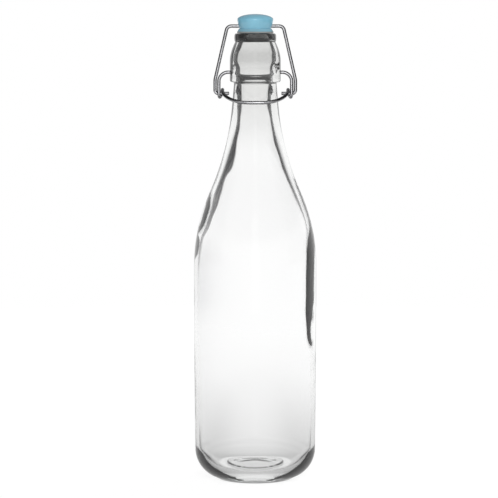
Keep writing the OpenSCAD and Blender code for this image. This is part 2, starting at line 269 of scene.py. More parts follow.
# How early the glass takes the painted dark edge shade as it turns away, from 0 for never: by height inside
# and outside, and in the dimples
INNER_PAINTED_EDGE_SHADE = ((0.006, 0.0), (0.011, 0.35), (0.022, 0.30), (0.045, 0.08), (0.12, 0.06), (0.16, 0.25),
              (0.205, 0.48), (0.245, 0.62), (0.262, 0.68), (0.2798, 0.68), (0.2812, 1.30), (0.2824, 1.30),
              (0.2845, 0.64), (0.296, 0.66), (0.307, 0.68))
OUTER_PAINTED_EDGE_SHADE = ((0.025, 0.0), (0.05, 0.16), (0.235, 0.16), (0.262, 0.45), (0.285, 0.42), (0.296, 0.48),
              (0.3078, 0.40), (0.3088, 0.85))
DIMPLE_PAINTED_EDGE_SHADE = 0.9
# How much earlier, or later below 0, the inside takes the painted dark edge shade on the right, by height
RIGHT_PAINTED_EDGE_SHADE = ((0.215, -0.12), (0.24, 0.02))
# How wide the change from clear to the painted dark edge shade is
PAINTED_EDGE_SHADE_WIDTH = 0.08
# Places in the blown wall: bearing in degrees, height, reach up and down, width in degrees, and how much the
# wall is thicker, takes the painted dark edge shade earlier outside, or takes painted grey shade there
THICK_PLACES = ((0.0, 0.143, 0.027, 26.0, 0.0027), (-14.0, 0.110, 0.014, 13.0, 0.0011),
                (180.0, 0.186, 0.011, 24.0, 0.0009), (180.0, 0.277, 0.020, 60.0, -0.0012))
PAINTED_DARK_PLACES = ((180.0, 0.165, 0.008, 40.0, 0.3),)
PAINTED_GREY_PLACES = ((180.0, 0.143, 0.027, 40.0, 1.0), (180.0, 0.085, 0.040, 40.0, 0.35))
# Heights between which the glass turns to the grey of the head, partly painted shade, and to the painted
# shade of the crown and back
HEAD_GREY, CROWN_SHADE_ON, CROWN_SHADE_OFF = (0.225, 0.272), (0.286, 0.295), (0.296, 0.305)

WHITE = (1.0, 1.0, 1.0)
# The range that most of a noise lies in
NOISE_RANGE = (0.3, 0.7)
# How clear the gasket's collar, rim and plug are, as greys, and how softly the rim meets the other two
COLLAR_CLEAR, RIM_CLEAR, PLUG_CLEAR = (0.3, 0.3, 0.3), (0.5, 0.5, 0.5), WHITE
RIM_BELOW, RIM_ABOVE = (-0.0002, 0.0001), (0.0, 0.0004)

# Each light below goes from one place to another, with its level at both where that is fixed.
# By bearing in degrees: off the line from back to front, then from 0 at the back to 180 at the front
STEEL_OFF, GLASS_OFF = (28.0, 58.0), (55.0, 80.0, 1.0, 0.5)
STEEL_FRONT, BOX_FRONT = (60.0, 110.0, 0.3, 1.0), (170.0, 176.0)
# By the angle above level in degrees
BOX_LOW, BOX_HIGH = (-10.0, -3.0, 0.0, 1.0), (28.0, 34.0, 1.0, 0.0)
THROUGH_GLASS, ROOF = (8.0, 20.0, 1.0, 0.3), (45.0, 70.0, 1.0, 0.12)
# By the sine of that angle, where the walls end at the floor
STEEL_LOW, GLASS_LOW = (0.0, 0.12, 1.0, 0.0), (-0.1, 0.06, 1.0, 0.0)
# How much of the soft box glass mirrors
BOX_IN_GLASS = 0.1
# By the distance from the bottle's axis: the floor as the camera sees it, as steel and glass mirror it, and
# through glass, each with a painted shadow near the bottle; its spot and ring of painted light below the
# base; and how much of it glows rather than being lit
FLOOR_SEEN, FLOOR_IN_STEEL = (0.0235, 0.0275, 0.2, 1.08), (0.1, 0.4, 0.1, 1.0)
FLOOR_IN_GLASS, FLOOR_THROUGH = (0.05, 0.5, 0.7, 1.0), (-0.08, 0.60, 0.56, 1.0)
PAINTED_LIGHT_SPOT = (0.015, 0.021, 0.25, 0.0)
PAINTED_LIGHT_RING = ((0.0205, 0.0225, 0.0, 0.32), (0.027, 0.030, 0.32, 0.0))
FLOOR_GLOW = (0.4, 0.9, 0.85, 1.0)
# A lane of painted light on the floor through glass, to the front and back: by that distance, and by distance
# sideways
PAINTED_LIGHT_LANE = ((0.03, 0.1, 0.05, 0.2), (0.1, 0.55, 0.2, 0.0))
PAINTED_LIGHT_LANE_SIDE = (0.005, 0.045, 1.0, 0.0)
# The floor lies this much below the base, so that the two never share a face
FLOOR_DROP = 0.0002
# Lamps: place and size, and the point that they face
KEY_LAMP, RIM_LAMP = ((0.1, -1.7, 1.0), 0.5), ((1.1, 0.9, 1.2), 0.7)
LAMPS_FACE = (0.0, 0.0, 0.17)
# The camera's sensor in millimetres, and the nearest and farthest that it sees
SENSOR, NEAREST, FARTHEST = 36.0, 0.05, 60.0


# Shapes


def eased(start, end, steps):
    """Points after start up to end, both (radius, height, slope), on a curve with those slopes."""
    (r0, z0, s0), (r1, z1, s1) = start, end
    rise = z1 - z0
    points = []
    for i in range(1, steps + 1):
        t = i / steps
        r = ((2 * t ** 3 - 3 * t ** 2 + 1) * r0 + (3 * t ** 2 - 2 * t ** 3) * r1
             + rise * ((t ** 3 - 2 * t ** 2 + t) * s0 + (t ** 3 - t ** 2) * s1))
        points.append((r, z0 + rise * t))
    return points


def flowing(knots, steps):
    """Points after the first of the knots, which are as in eased(), with so many steps to each next one."""
    return [p for start, end, count in zip(knots, knots[1:], steps) for p in eased(start, end, count)]


def rounded(r, z, radius, first, last, steps):
    """Points on an arc about (r, z), from the angle first to the angle last in degrees."""
    turns = [math.radians(first + (last - first) * i / steps) for i in range(steps + 1)]
    return [(r + radius * math.cos(t), z + radius * math.sin(t)) for t in turns]


def pushed_up(radius, z, rise, steps, flat=0.0):
    """Points of a soft dome of the given radius and rise, from the axis to its edge at height z; the share
    flat of its radius is level."""
    points = [(radius * i / steps, max(0.0, i / steps - flat) / (1 - flat)) for i in range(steps + 1)]
    return [(r, z + rise * (1 + math.cos(math.pi * t)) / 2) for r, t in points]


def turned(rows, steps, closed=False, inside=0):
    """A mesh of the half section rows, spun once round the Z axis; its last rows may be its inside."""
    bm = bmesh.new()
    side = bm.verts.layers.float.new("inside") if inside else None
    points = [bm.verts.new((r, 0.0, z)) for r, z in rows]
    for point in points[len(rows) - inside:]:
        point[side] = 1.0
    edges = [bm.edges.new(pair) for pair in zip(points, points[1:])]
    if closed:
        edges.append(bm.edges.new((points[-1], points[0])))
    bmesh.ops.spin(bm, geom=points + edges, cent=(0, 0, 0), axis=(0, 0, 1), angle=2 * math.pi, steps=steps,
                   use_merge=True)
    bmesh.ops.remove_doubles(bm, verts=bm.verts, dist=WELD)
    bmesh.ops.recalc_face_normals(bm, faces=bm.faces)
    return bm


def stepped(z, steps):
    """The value at height z between steps, each a height and a value."""
    for (low, first), (high, last) in zip(steps, steps[1:]):
        if z <= high:
            t = min(1.0, max(0.0, (z - low) / (high - low)))
            return first + (last - first) * t * t * (3 - 2 * t)
    return steps[-1][1]


def laid_along_x(bm, x, z):
    """Turns a mesh made on the Z axis so that it points along X, and puts its origin at (x, 0, z)."""
    bmesh.ops.rotate(bm, cent=(0, 0, 0), matrix=Matrix.Rotation(math.pi / 2, 3, "Y"), verts=bm.verts)
    bmesh.ops.translate(bm, vec=(x, 0, z), verts=bm.verts)


def as_object(name, bm):
    """A new object that holds the mesh bm."""
    mesh = bpy.data.meshes.new(name)
    bm.to_mesh(mesh)
    bm.free()
    ob = bpy.data.objects.new(name, mesh)
    bpy.context.scene.collection.objects.link(ob)
    return ob


def cut(ob, tool):
    """Takes the shape of the mesh tool out of the object ob."""
    cutter = as_object(ob.name + "_cutter", tool)
    step = ob.modifiers.new("cut", "BOOLEAN")
    step.operation = "DIFFERENCE"
    step.solver = "EXACT"
    step.object = cutter
    graph = bpy.context.evaluated_depsgraph_get()
    mesh = bpy.data.meshes.new_from_object(ob.evaluated_get(graph))
    ob.modifiers.remove(step)
    old, ob.data = ob.data, mesh
    mesh.name = ob.name
    bpy.data.meshes.remove(old)
    old = cutter.data
    bpy.data.objects.remove(cutter)
    bpy.data.meshes.remove(old)


def dress(ob, material, body, node, crease=CREASE):
    """Smooths a finished piece and puts it in the place of its CAD node."""
    for face in ob.data.polygons:
        face.use_smooth = True
    ob.data.set_sharp_from_angle(angle=math.radians(crease))
    ob.data.materials.clear()
    ob.data.materials.append(material)
    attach(ob, body)
    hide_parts(node)


def drawn_wire(route, bends, radius):
    """A round wire along a route of points, extruded along its straights and spun round its bends. Its
    vertices keep their place round the wire and along it."""
    bm = bmesh.new()
    wrap = bm.verts.layers.float_vector.new("wrap")
    first = (route[1] - route[0]).normalized()
    stand = Matrix.Translation(route[0]) @ first.to_track_quat("Z", "Y").to_matrix().to_4x4()
    ring = bmesh.ops.create_circle(bm, cap_ends=True, segments=WIRE_SIDES, radius=radius, matrix=stand)
    for i, v in enumerate(ring["verts"]):
        v[wrap] = (math.cos(2 * math.pi * i / WIRE_SIDES), math.sin(2 * math.pi * i / WIRE_SIDES), 0.0)
    end = list(bm.faces)
    here, run = route[0], 0.0

    def new_end(grown):
        """The wire's end face among what has grown, marked with the length of wire so far."""
        faces = [g for g in grown if isinstance(g, bmesh.types.BMFace)]
        for v in faces[0].verts:
            v[wrap].z = run
        return faces

    for i in range(1, len(route)):
        into = (route[i] - route[i - 1]).normalized()
        trim = turn = 0.0
        if i < len(route) - 1:
            out = (route[i + 1] - route[i]).normalized()
            turn = into.angle(out)
            trim = bends[i] * math.tan(turn / 2)
        stop = route[i] - into * trim
        run += (stop - here).length
        end = new_end(bmesh.ops.extrude_face_region(bm, geom=end)["geom"])
        bmesh.ops.translate(bm, verts=end[0].verts, vec=stop - here)
        here = stop
        if turn:
            axis = into.cross(out).normalized()
            centre = here + axis.cross(into) * bends[i]
            steps = max(BEND_LEAST, math.ceil(turn / BEND_STEP))
            for _ in range(steps):
                run += bends[i] * turn / steps
                spun = bmesh.ops.spin(bm, geom=end, cent=centre, axis=axis, angle=turn / steps, steps=1)
                end = new_end(spun["geom_last"])
            here = route[i] + out * trim
            if (end[0].calc_center_median() - here).length > BEND_MISS:
                raise RuntimeError("a bend of the wire doesn't end where its route goes on")
    tips = [f for f in bm.faces if len(f.verts) == WIRE_SIDES]
    bmesh.ops.bevel(bm, geom=[e for f in tips for e in f.edges], offset=radius * TIP_ROUND, segments=3,
                    profile=0.5, affect="EDGES", material=-1)
    bmesh.ops.recalc_face_normals(bm, faces=bm.faces)
    return bm


# Finishes


class Nodes:
    """Adds nodes to a node tree and joins them."""

    def __init__(self, tree):
        self.tree = tree
        tree.nodes.clear()

    def add(self, kind, settings=None, **inputs):
        """A node of the given kind; a number, colour or socket is given for an input by its name."""
        node = self.tree.nodes.new(kind)
        for key, value in (settings or {}).items():
            setattr(node, key, value)
        for key, value in inputs.items():
            self.feed(node, key.replace("_", " "), value)
        return node

    def feed(self, node, key, value):
        """Sets one input, by its name or its number."""
        socket = node.inputs[key]
        if isinstance(value, bpy.types.NodeSocket):
            self.tree.links.new(value, socket)
        else:
            socket.default_value = value

    def maths(self, operation, a, b=0.0):
        """The result of a Math node."""
        node = self.add("ShaderNodeMath", {"operation": operation})
        self.feed(node, 0, a)
        self.feed(node, 1, b)
        return node.outputs[0]

    def ramp(self, value, low, high, to_low, to_high):
        """A value that goes smoothly from to_low at low to to_high at high."""
        node = self.add("ShaderNodeMapRange", {"interpolation_type": "SMOOTHSTEP"})
        for key, number in zip(("Value", "From Min", "From Max", "To Min", "To Max"),
                               (value, low, high, to_low, to_high)):
            self.feed(node, key, number)
        return node.outputs["Result"]

    def by_bearing(self, bearing, low, high, to_low, to_high):
        """A ramp over a bearing, with low and high in degrees."""
        return self.ramp(bearing, math.radians(low), math.radians(high), to_low, to_high)

    def by_rise(self, up, low, high, to_low, to_high):
        """A ramp over a direction's upward part, with low and high as angles above level in degrees."""
        return self.ramp(up, math.sin(math.radians(low)), math.sin(math.radians(high)), to_low, to_high)

    def noise(self, vector, scale, detail=2.0):
        """A noise value on the given coordinates."""
        node = self.add("ShaderNodeTexNoise", Vector=vector, Scale=scale, Detail=detail)
        return node.outputs[0]

    def by_noise(self, noise, to_low, to_high):
        """A ramp over the usual range of a noise."""
        return self.ramp(noise, *NOISE_RANGE, to_low, to_high)

    def place(self):
        """The place on the piece or floor, in its own coordinates."""
        return self.add("ShaderNodeTexCoord").outputs["Object"]

    def part(self, vector, axis):
        """One part, X, Y or Z, of a vector."""
        return self.add("ShaderNodeSeparateXYZ", Vector=vector).outputs[axis]

    def stored(self, name, output="Fac"):
        """A value that is stored on the mesh."""
        return self.add("ShaderNodeAttribute", {"attribute_name": name}).outputs[output]

    def blend(self, value, low, high):
        """A colour between low and high."""
        node = self.add("ShaderNodeMix", {"data_type": "RGBA"})
        self.feed(node, 0, value)
        for key, end in ((6, low), (7, high)):
            self.feed(node, key, end if isinstance(end, bpy.types.NodeSocket) else (*end, 1.0))
        return node.outputs[2]

    def surface(self, bump, depth=None, **inputs):
        """The material's surface: its bump is strength, distance and height, its depth colour and density."""
        strength, distance, height = bump
        bump = self.add("ShaderNodeBump", Strength=strength, Distance=distance, Height=height)
        face = self.add("ShaderNodeBsdfPrincipled", Normal=bump.outputs[0], **inputs)
        output = self.add("ShaderNodeOutputMaterial", Surface=face.outputs[0])
        if depth:
            tint, density = depth
            inside = self.add("ShaderNodeVolumeAbsorption", Color=(*tint, 1.0), Density=density)
            self.feed(output, "Volume", inside.outputs[0])


def finish_nodes(name):
    """A new material and the builder of its nodes."""
    material = bpy.data.materials.new(name)
    material.use_nodes = True
    return material, Nodes(material.node_tree)


def shaded(rgb, by):
    """The colour rgb made lighter or darker."""
    return tuple(min(1.0, c * by) for c in rgb)


def clear_glass(tint, painted_grey_shade_tint, thick_head_and_shade_tint, crown_painted_shade_tint, painted_edge_shade_tint):
    """Fire-polished clear glass with a soft ripple, greyer in its thick head, which is partly painted shade.
    Painted shade also darkens a band round the crown and some set places, and paints it dark where it turns
    away."""
    material, n = finish_nodes("clear_glass")
    place = n.place()
    away = n.add("ShaderNodeLayerWeight", Blend=0.5).outputs["Facing"]
    # Painted shade: the glass is painted dark where it turns away further than its stored edge value allows
    early = n.maths("MULTIPLY", n.stored("edge"), n.by_noise(n.noise(place, 26.0), 0.8, 1.2))
    painted_edge_shade_amount = n.maths("SUBTRACT", n.maths("ADD", away, early), 1.0)
    height = n.part(place, "Z")
    # Painted shade: grey in the head, partly the thick glass's own, and darker round the crown
    crown = n.maths("MULTIPLY", n.ramp(height, *CROWN_SHADE_ON, 0.0, 1.0), n.ramp(height, *CROWN_SHADE_OFF, 1.0, 0.0))
    head = n.blend(crown, thick_head_and_shade_tint, crown_painted_shade_tint)
    body = n.blend(n.ramp(height, *HEAD_GREY, 0.0, 1.0), WHITE, head)
    # Painted shade: grey where the mesh stores it
    body = n.blend(n.stored("grey"), body, painted_grey_shade_tint)
    seen = n.blend(n.ramp(painted_edge_shade_amount, 0.0, PAINTED_EDGE_SHADE_WIDTH, 0.0, 1.0), body, painted_edge_shade_tint)
    n.surface((0.08, 0.0006, n.noise(place, 70.0, 1.0)), (tint, 16.0), Base_Color=seen, IOR=1.52,
              Roughness=0.0, Transmission_Weight=1.0)
    return material


def drawn_steel(tint):
    """Bright drawn steel wire with fine lines along its length."""
    material, n = finish_nodes("drawn_steel")
    lines = n.add("ShaderNodeMapping", Vector=n.stored("wrap", "Vector"), Scale=(5.0, 5.0, 60.0)).outputs[0]
    streak = n.noise(lines, 1.6, 4.0)
    cloud = n.noise(n.place(), 160.0)
    grey = n.blend(n.by_noise(streak, 0.0, 1.0), shaded(tint, 0.86), shaded(tint, 1.16))
    n.surface((0.15, 0.00004, streak), Base_Color=grey, Metallic=1.0, Roughness=n.by_noise(cloud, 0.20, 0.34))
    return material


def moulded_plastic(tint):
    """Satin moulded plastic, a little cloudy, with the fine grain of the mould."""
    material, n = finish_nodes("blue_plastic")
    place = n.place()
    cloud, grain = n.noise(place, 130.0, 3.0), n.noise(place, 2600.0)
    blue = n.blend(n.by_noise(cloud, 0.0, 1.0), shaded(tint, 0.95), shaded(tint, 1.05))
    n.surface((0.12, 0.00003, grain), Base_Color=blue, Roughness=n.by_noise(cloud, 0.09, 0.15), IOR=1.49)
    return material


def clear_silicone(tint, collar, plug, rim_low, rim_high):
    """Soft silicone: clear in the plug, but painted nearly black there as shade; half clear and grey in the
    rim between two heights; and painted with the lit stopper's blue in the collar as light.
    """
    material, n = finish_nodes("clear_silicone")
    place = n.place()
    cloud, grain = n.noise(place, 180.0, 3.0), n.noise(place, 1500.0)
    gasket_colour = n.blend(n.by_noise(cloud, 0.0, 1.0), shaded(tint, 0.6), shaded(tint, 0.75))
    height = n.part(place, "Z")
    under = n.ramp(height, *(rim_low + by for by in RIM_BELOW), 0.0, 1.0)
    over = n.ramp(height, *(rim_high + by for by in RIM_ABOVE), 1.0, 0.0)
    clear = n.blend(over, COLLAR_CLEAR, n.blend(under, PLUG_CLEAR, RIM_CLEAR))
    # Painted light gives the collar the lit stopper's blue, and painted shade darkens the plug to a tenth of
    # the gasket's colour
    gasket_colour = n.blend(over, collar, n.blend(under, shaded(tint, 0.1), gasket_colour))
    n.surface((0.1, 0.00005, grain), (plug, 60.0), Base_Color=gasket_colour, Roughness=n.by_noise(cloud, 0.08, 0.16),
              IOR=1.41, Transmission_Weight=clear)
    return material


def steel_walls(n, bearing, off, up, dark):
    """The light from all round as steel shows it: bright, but dark to the sides and above at the back."""
    side = n.by_bearing(off, *STEEL_OFF, 1.0, dark)
    front = n.by_bearing(n.maths("ABSOLUTE", bearing), *STEEL_FRONT)
    return n.maths("MULTIPLY", side, n.maths("MAXIMUM", front, n.ramp(up, *STEEL_LOW)))


def glass_walls(n, off, up):
    """The light from all round as glass mirrors it: bright, but darker to the sides above the floor."""
    return n.maths("MAXIMUM", n.by_bearing(off, *GLASS_OFF), n.ramp(up, *GLASS_LOW))


def soft_box(n, bearing, up, level):
    """The large lamp above the camera as steel and plastic show it."""
    level = n.by_bearing(n.maths("ABSOLUTE", bearing), *BOX_FRONT, 0.0, level)
    for end in (BOX_LOW, BOX_HIGH):
        level = n.maths("MULTIPLY", level, n.by_rise(up, *end))
    return level


def mixed(n, share, first, second):
    """The shader first, or second where share is 1."""
    node = n.add("ShaderNodeMixShader")
    for key, value in enumerate((share, first, second)):
        n.feed(node, key, value)
    return node.outputs[0]


def seen_by(n, *kinds):
    """1 for rays of the given kinds, 0 for others."""
    path = n.add("ShaderNodeLightPath")
    total = path.outputs[kinds[0]]
    for kind in kinds[1:]:
        total = n.maths("MAXIMUM", total, path.outputs[kind])
    return total


# Operators


def steel_wire(context, name, half, bends, body, node):
    """Bends one wire from the right half of its route and of its bends, and finishes it in steel."""
    route = half + [Vector((-p.x, p.y, p.z)) for p in reversed(half)]
    ob = as_object(name, drawn_wire(route, bends + bends[::-1], context.scene.swingtop_wires.wire_r))
    finish = bpy.data.materials.get("drawn_steel") or drawn_steel(context.scene.swingtop_finish.steel)
    dress(ob, finish, body, node)


class SWINGTOP_OT_blow_bottle(bpy.types.Operator):
    """Turn the glass in one wall, let its inner face wander, and sink the lever's dimples"""
    bl_idname = "swingtop.blow_bottle"
    bl_label = "Blow the bottle"

    def execute(self, context):
        g = context.scene.swingtop_glass
        outer, inner = self.section(g)
        bm = turned(outer + inner, GLASS_ROUND, inside=len(inner))
        self.waver(bm, g)
        self.shade(bm)
        ob = as_object("glass_bottle", bm)
        depth, soft = g.head_r + DRILL_PAST - g.dimple_x, g.dimple_edge
        bore = [(0.0, 0.0), (g.dimple_r - soft, 0.0)]
        bore += rounded(g.dimple_r - soft, soft, soft, -90, 0, 4)[1:]
        bore += [(g.dimple_r, depth), (0.0, depth)]
        for side in (1, -1):
            drill = turned(bore, DIMPLE_ROUND)
            # Painted shade: the dimples take the dark edge colour early
            edge = drill.verts.layers.float.new("edge")
            for v in drill.verts:
                v[edge] = DIMPLE_PAINTED_EDGE_SHADE
            if side < 0:
                bmesh.ops.rotate(drill, cent=(0, 0, 0), matrix=Matrix.Rotation(math.pi, 3, "Y"),
                                 verts=drill.verts)
            laid_along_x(drill, side * g.dimple_x, g.dimple_z)
            cut(ob, drill)
        f = context.scene.swingtop_finish
        finish = clear_glass(f.glass, f.grey_glass, f.head_glass, f.crown_glass, f.edge)
        dress(ob, finish, "bottle", "bottle", GLASS_CREASE)
        return {"FINISHED"}

    def section(self, g):
        """Half section of the glass: outside from the middle of the base to the rim, then inside."""
        turn, neck = -math.tan(g.turn_lean), -math.tan(g.neck_lean)
        foot = (g.body_r - g.foot_r) / g.barrel_z
        bearing_r = g.foot_r - g.heel_r
        neck_r = g.throat_r + (g.head_z - g.head_edge - g.throat_z) * neck
        edge, top = g.head_edge, GLASS_TOP
        outer = pushed_up(g.punt_r, 0.0, g.punt_h, PUNT_STEPS)
        outer += rounded(bearing_r, g.heel_r, g.heel_r, -90, 0, HEEL_STEPS)
        outer += flowing([(g.foot_r, g.heel_r, foot), (g.body_r, g.barrel_z, 0), (g.body_r, g.shoulder_z, 0),
                          (g.turn_r, g.turn_z, turn), (g.throat_r, g.throat_z, neck),
                          (neck_r, g.head_z - edge, neck)], BODY_STEPS)
        outer += rounded(neck_r + edge, g.head_z - edge, edge, 180, 90, EDGE_STEPS)[1:]
        outer += rounded(g.head_r - edge, g.head_z + edge, edge, -90, 0, EDGE_STEPS)
        outer += flowing([(g.head_r, g.head_z + edge, 0), (g.head_r, g.crown_z, 0),
                          (g.groove_r, g.lip_z, CROWN_SLOPE)], HEAD_STEPS)
        bulge_z, bulge_r = (g.lip_z + top) / 2, g.lip_bulge_r
        outer += rounded(g.lip_r - bulge_r, bulge_z, bulge_r, *LIP_ARC, LIP_STEPS)
        outer += rounded(g.lip_r - g.lip_inset - g.lip_edge, top - g.lip_edge, g.lip_edge, *LIP_EDGE_ARC,
                         EDGE_STEPS)
        outer += rounded(g.mouth_r + g.mouth_edge, top - g.mouth_edge, g.mouth_edge, 90, 180, EDGE_STEPS)
        heel_z = g.base_t + g.heel_bore_r
        foot_r, body_r = g.foot_r - g.wall, g.body_r - g.wall
        turn_r = g.turn_r - g.wall / math.cos(g.turn_lean)
        inner = flowing([(g.mouth_r, top - g.mouth_edge, 0), (g.mouth_r, top - g.land_h, 0),
                         (g.head_bore_r, g.head_bore_top, 0), (g.head_bore_r, g.head_bore_z, 0),
                         (g.step_r, g.step_z, 0), (g.neck_bore_r, g.neck_bore_z, 0),
                         (g.neck_bore_r, g.throat_z, neck), (turn_r, g.turn_z, turn),
                         (body_r, g.shoulder_z, 0), (body_r, g.barrel_z, 0),
                         (foot_r, heel_z, foot)], INNER_STEPS)
        inner += rounded(foot_r - g.heel_bore_r, heel_z, g.heel_bore_r, 0, -90, HEEL_STEPS)[1:]
        inner += pushed_up(g.dome_r, g.base_t, g.dome_h, DOME_STEPS, g.dome_flat)[::-1]
        return outer, inner

    def spread(self, places, z, turn):
        """What the given places add up to at the height z and the bearing turn."""
        total = 0.0
        for bearing, middle, reach, width, by in places:
            off = math.remainder(math.degrees(turn) - bearing, 360.0)
            total += by * math.exp(-(off / width) ** 2 - ((z - middle) / reach) ** 4)
        return total

    def waver(self, bm, g):
        """Moves the inner face in and out, as blown glass runs, least at the mouth and the base."""
        inside = bm.verts.layers.float["inside"]
        for v in bm.verts:
            r, z, turn = math.hypot(v.co.x, v.co.y), v.co.z, math.atan2(v.co.y, v.co.x)
            if not v[inside] or r < AXIS_R:
                continue
            sway = BROAD_SWAY * math.sin(z / BROAD_HEIGHT)
            run = BROAD_SHARE * math.cos(BROAD_COUNT * turn + BROAD_START + sway)
            run += FINE_SHARE * math.cos(FINE_COUNT * turn + FINE_START + z / FINE_HEIGHT)
            for here, (none, full) in ((GLASS_TOP - z, CALM_RIM), (z, CALM_BASE)):
                run *= min(1.0, max(0.0, (here - none) / (full - none)))
            run *= NECK_WAVER + (1 - NECK_WAVER) * min(1.0, r / g.turn_r)
            by = 1 - (g.waver * run + self.spread(THICK_PLACES, z, turn)) / r
            v.co.x *= by
            v.co.y *= by

    def shade(self, bm):
        """Marks how early each place takes painted dark edge shade as it turns away, and how much painted
        grey shade.
        """
        inside = bm.verts.layers.float["inside"]
        edge = bm.verts.layers.float.new("edge")
        grey = bm.verts.layers.float.new("grey")
        for v in bm.verts:
            z, turn = v.co.z, math.atan2(v.co.y, v.co.x)
            # Painted grey shade here, and below, how early the painted dark edge shade starts
            v[grey] = self.spread(PAINTED_GREY_PLACES, z, turn)
            if v[inside]:
                v[edge] = stepped(z, INNER_PAINTED_EDGE_SHADE) * (1 + stepped(z, RIGHT_PAINTED_EDGE_SHADE) * math.cos(turn))
            else:
                v[edge] = stepped(z, OUTER_PAINTED_EDGE_SHADE) + self.spread(PAINTED_DARK_PLACES, z, turn)
        bm.verts.layers.float.remove(inside)


class SWINGTOP_OT_bend_lever(bpy.types.Operator):
    """Bend the lever: two pivot ends, two arms with an eye each, and the loop in front of the neck"""
    bl_idname = "swingtop.bend_lever"
    bl_label = "Bend the lever"

    def execute(self, context):
        w = context.scene.swingtop_wires
        eye_z = w.pivot_z - w.eye_drop
        arm_lean = math.asin(w.eye_r / math.hypot(w.eye_y, w.eye_drop)) - math.atan2(w.eye_y, w.eye_drop)
        reach = math.hypot(w.eye_y + w.loop_y, w.loop_drop)
        loop_lean = math.atan2(w.loop_drop, w.eye_y + w.loop_y) + math.asin(w.eye_r / reach)
        loop_bend_r = math.sqrt(reach ** 2 - w.eye_r ** 2) - w.loop_lead
        loop_x, back_y, low_z = w.arm_x - w.eye_shift, w.eye_y + w.eye_r, eye_z - w.eye_r
        half = [
            Vector((w.pin_x, 0.0, w.pivot_z)),
            Vector((w.arm_x, 0.0, w.pivot_z)),
            Vector((w.arm_x, -(w.eye_drop + w.eye_r) * math.tan(arm_lean), low_z)),
            Vector((w.arm_x - w.eye_shift / 2, back_y, low_z)),
            Vector((loop_x, back_y, eye_z + w.eye_r * math.tan(math.pi / 4 + loop_lean / 2))),
            Vector((loop_x, -w.loop_y, eye_z - w.loop_drop)),
        ]
        bends = [0.0, w.arm_bend_r, w.eye_r, w.eye_r, w.eye_r, loop_bend_r]
        steel_wire(context, "lever_wire_bent", half, bends, "lever", "lever_wire")
        return {"FINISHED"}


class SWINGTOP_OT_bend_bail(bpy.types.Operator):
    """Bend the bail: the cross wire through the stopper, two legs, and a tail through each eye"""
    bl_idname = "swingtop.bend_bail"
    bl_label = "Bend the bail"

    def execute(self, context):
        w = context.scene.swingtop_wires
        eye_z = w.pivot_z - w.eye_drop
        knee_y = w.eye_y * (w.cross_z - w.knee_z) / (w.cross_z - eye_z)
        half = [
            Vector((w.tail_x, w.eye_y, eye_z)),
            Vector((w.leg_x, w.eye_y, eye_z)),
            Vector((w.leg_x, knee_y, w.knee_z)),
            Vector((w.corner_x, 0.0, w.cross_z)),
        ]
        bends = [0.0, w.tail_bend_r, w.knee_bend_r, w.corner_bend_r]
        steel_wire(context, "bail_wire_bent", half, bends, "bail", "bail_wire")
        return {"FINISHED"}


class SWINGTOP_OT_mould_stopper(bpy.types.Operator):
    """Mould the stopper with its stem and button, its parting line and the hole for the cross wire"""
    bl_idname = "swingtop.mould_stopper"
    bl_label = "Mould the stopper"

    def execute(self, context):
        s, w = context.scene.swingtop_stopper, context.scene.swingtop_wires
        soft, round_r = s.foot_edge, s.button_edge
        rows = [(0.0, s.button_z), (s.button_r - round_r, s.button_z)]
        rows += rounded(s.button_r - round_r, s.button_z + round_r, round_r, -90, 0, 6)[1:]
        rows += [(s.button_r, s.button_z + s.button_h), (s.stem_r, s.button_z + s.button_h)]
        rows += [(s.stem_r, s.foot_z), (s.foot_r - soft, s.foot_z)]
        rows += rounded(s.foot_r - soft, s.foot_z + soft, soft, *FOOT_ARC, 5)[1:]
        rows += eased((*rows[-1], STOPPER_SLOPE), (s.belly_r, s.belly_z, 0.0), STOPPER_STEPS)
        for i in range(1, STOPPER_STEPS + 1):
            t = math.radians(90 * i / STOPPER_STEPS)
            rows.append((s.belly_r * math.cos(t), s.belly_z + (s.top_z - s.belly_z) * math.sin(t)))
        bm = turned(rows, STOPPER_ROUND)
        for v in bm.verts:
            if abs(v.co.y) < ON_SEAM and v.co.z > s.foot_z + soft and abs(v.co.x) > AXIS_R:
                v.co.x += math.copysign(s.seam, v.co.x)
        ob = as_object("stopper_moulded", bm)
        wide_r = s.hole_r + s.hole_flare
        half = [(s.hole_r, s.belly_r - s.flare_in), (wide_r, s.belly_r - s.flare_out)]
        half += [(wide_r, s.belly_r + 2 * DRILL_PAST), (0.0, s.belly_r + 2 * DRILL_PAST)]
        drill = turned([(r, -x) for r, x in reversed(half)] + half, HOLE_ROUND)
        laid_along_x(drill, 0.0, w.cross_z)
        cut(ob, drill)
        finish = moulded_plastic(context.scene.swingtop_finish.plastic)
        dress(ob, finish, "stopper", "stopper")
        return {"FINISHED"}


